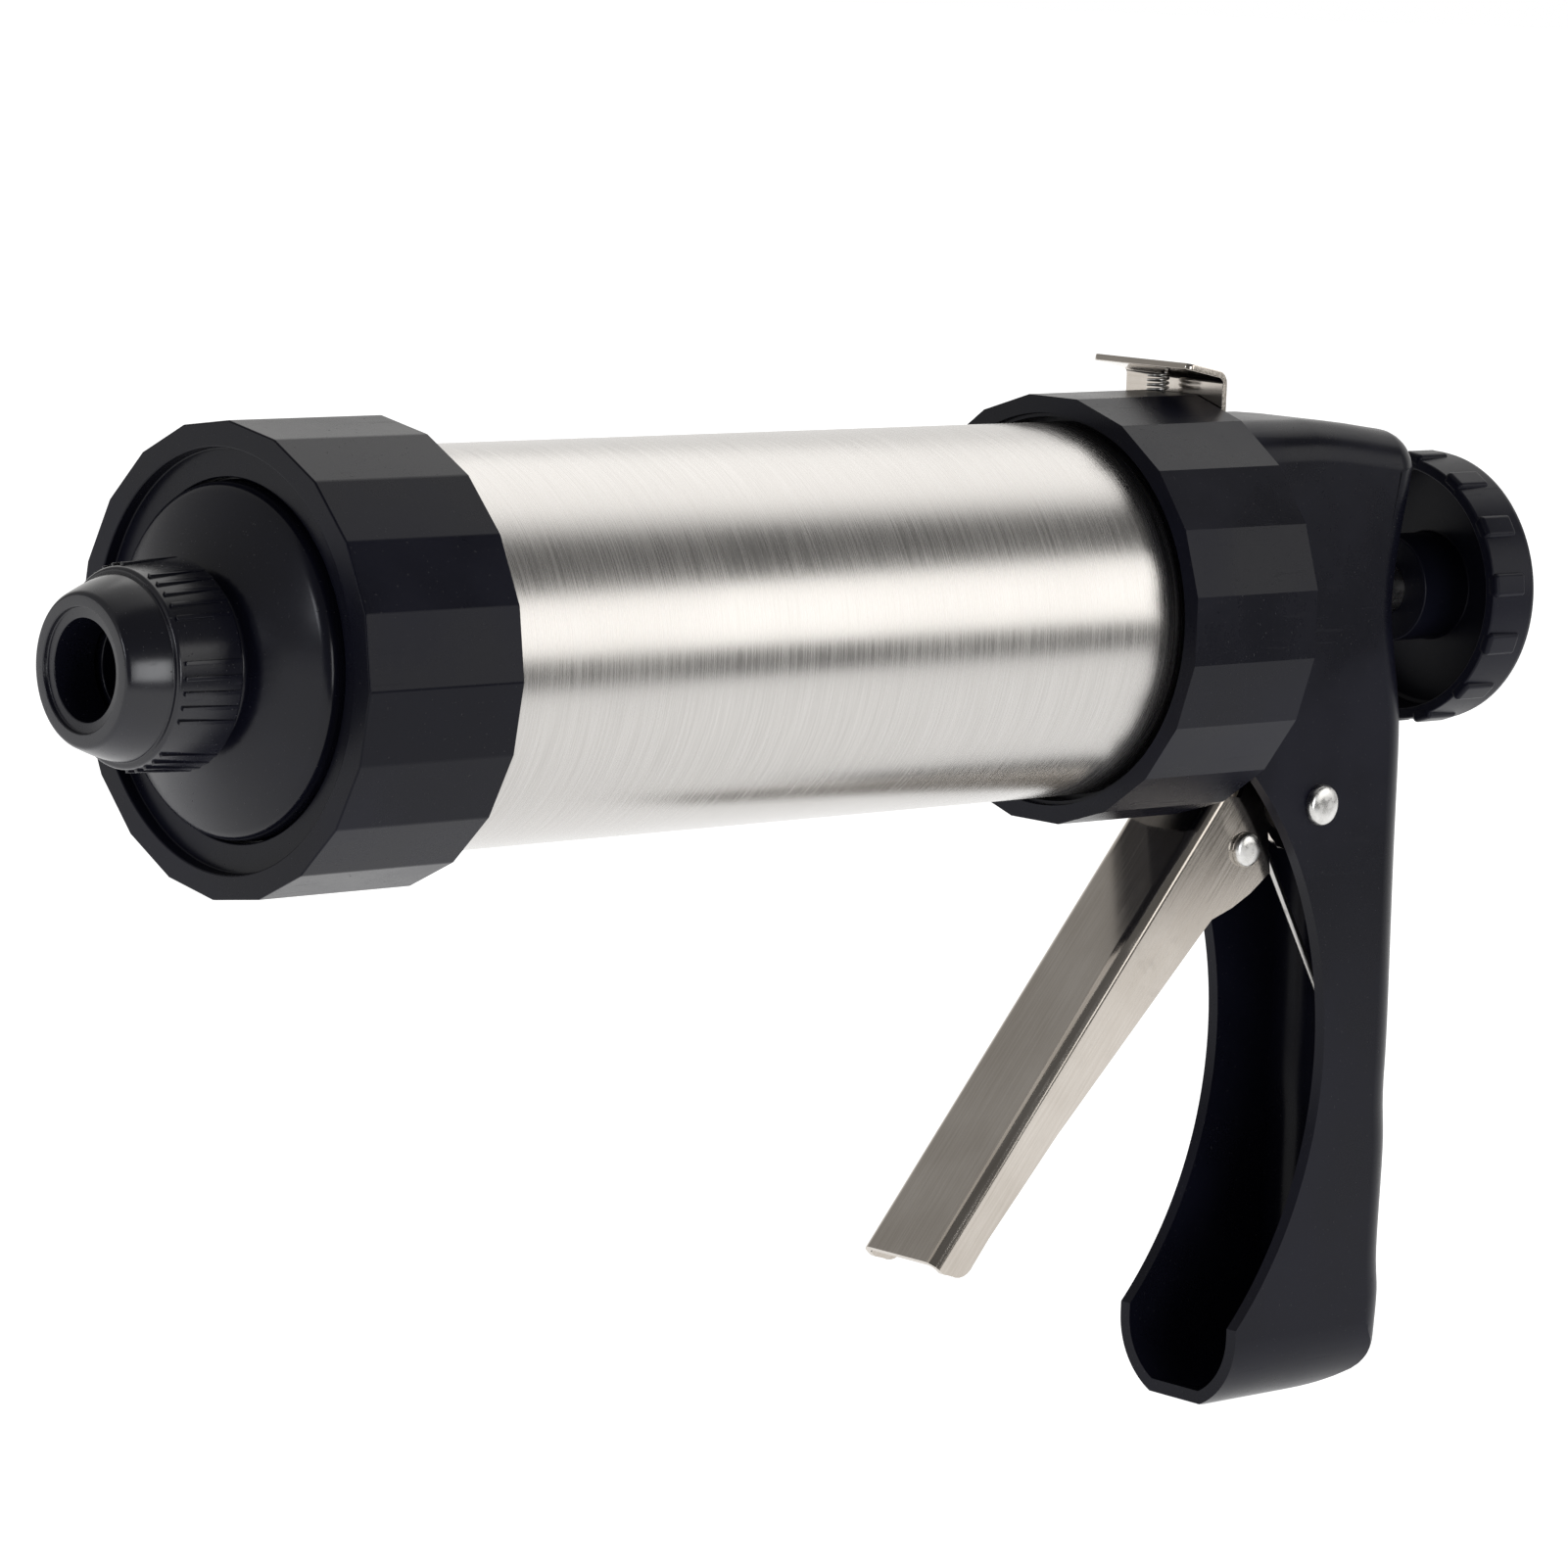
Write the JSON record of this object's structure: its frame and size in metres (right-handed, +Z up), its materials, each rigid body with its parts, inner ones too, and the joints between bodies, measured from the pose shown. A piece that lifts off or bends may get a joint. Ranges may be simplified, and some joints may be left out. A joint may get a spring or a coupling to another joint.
{
  "type": "trigger-operated dough press",
  "caption": "Hand press for dough or icing: steel barrel with a screw-on nozzle end, a toothed push rod with knob and plunger, a sprung trigger and a thumb release catch.",
  "frame": {"origin": "on the barrel's axis, in the plane of the front ring's front face", "axes": "+X along the barrel from nozzle to knob, +Z up, handle down, -Y on the side the trigger is seen from"},
  "size_m": [0.2653, 0.065, 0.1651],
  "materials": {
    "black_plastic": "satin-gloss black moulding",
    "black_rubber": "matt rubber",
    "brushed_barrel": "brushed round the tube",
    "trigger_steel": "polished stainless sheet",
    "rivet_steel": "bright turned steel",
    "rod_steel": "plated rod",
    "spring_steel": "drawn wire"
  },
  "bodies": {
    "frame": {"handle_body": "black_plastic", "barrel": "brushed_barrel", "cone_plate": "black_plastic", "plate_gasket": "black_rubber", "front_bush": "rivet_steel", "rear_bush": "rivet_steel", "pivot_rivet": "rivet_steel", "pivot_washers": "rivet_steel", "return_spring": "spring_steel", "catch_spring": "spring_steel"},
    "front_ring": {"front_ring": "black_plastic"},
    "nozzle_nut": {"nozzle_nut": "black_plastic"},
    "plunger": {"push_rod": "rod_steel", "plunger_plate": "black_plastic", "plunger_seal": "black_rubber", "plunger_nut": "rivet_steel", "knob": "black_plastic", "knob_screw": "rivet_steel"},
    "catch": {"catch_plate": "trigger_steel"},
    "trigger": {"trigger_lever": "trigger_steel", "stop_rivet": "rivet_steel", "pawl_pin": "rivet_steel", "pawl_spring": "spring_steel"},
    "pawl": {"drive_pawl": "rivet_steel"}
  },
  "joints": [
    {"name": "ring_turn", "type": "hinge", "parent": "frame", "child": "front_ring", "pos_m": [0.013, 0, 0], "axis": [-1, 0, 0], "range_deg": [0, 360]},
    {"name": "nozzle_turn", "type": "hinge", "parent": "frame", "child": "nozzle_nut", "pos_m": [-0.012, 0, 0], "axis": [-1, 0, 0], "range_deg": [0, 360]},
    {"name": "rod_slide", "type": "slide", "parent": "frame", "child": "plunger", "axis": [1, 0, 0], "range_m": [0, 0.15]},
    {"name": "catch_press", "type": "slide", "parent": "frame", "child": "catch", "axis": [0, 0, -1], "range_m": [0, 0.0013], "stiffness_N_per_m": 600, "springref_m": -0.002, "deforming": ["catch_spring"]},
    {"name": "trigger_squeeze", "type": "hinge", "parent": "frame", "child": "trigger", "pos_m": [0.2038, 0, -0.0314], "axis": [0, -1, 0], "range_deg": [0, 28], "stiffness_Nm_per_rad": 0.5, "springref_deg": -20.05, "deforming": ["return_spring"]},
    {"name": "pawl_swing", "type": "hinge", "parent": "trigger", "child": "pawl", "pos_m": [0.20313, 0, -0.01577], "axis": [0, -1, 0], "range_deg": [0, 18], "stiffness_Nm_per_rad": 0.01, "springref_deg": -28.65, "deforming": ["pawl_spring"]}
  ]
}
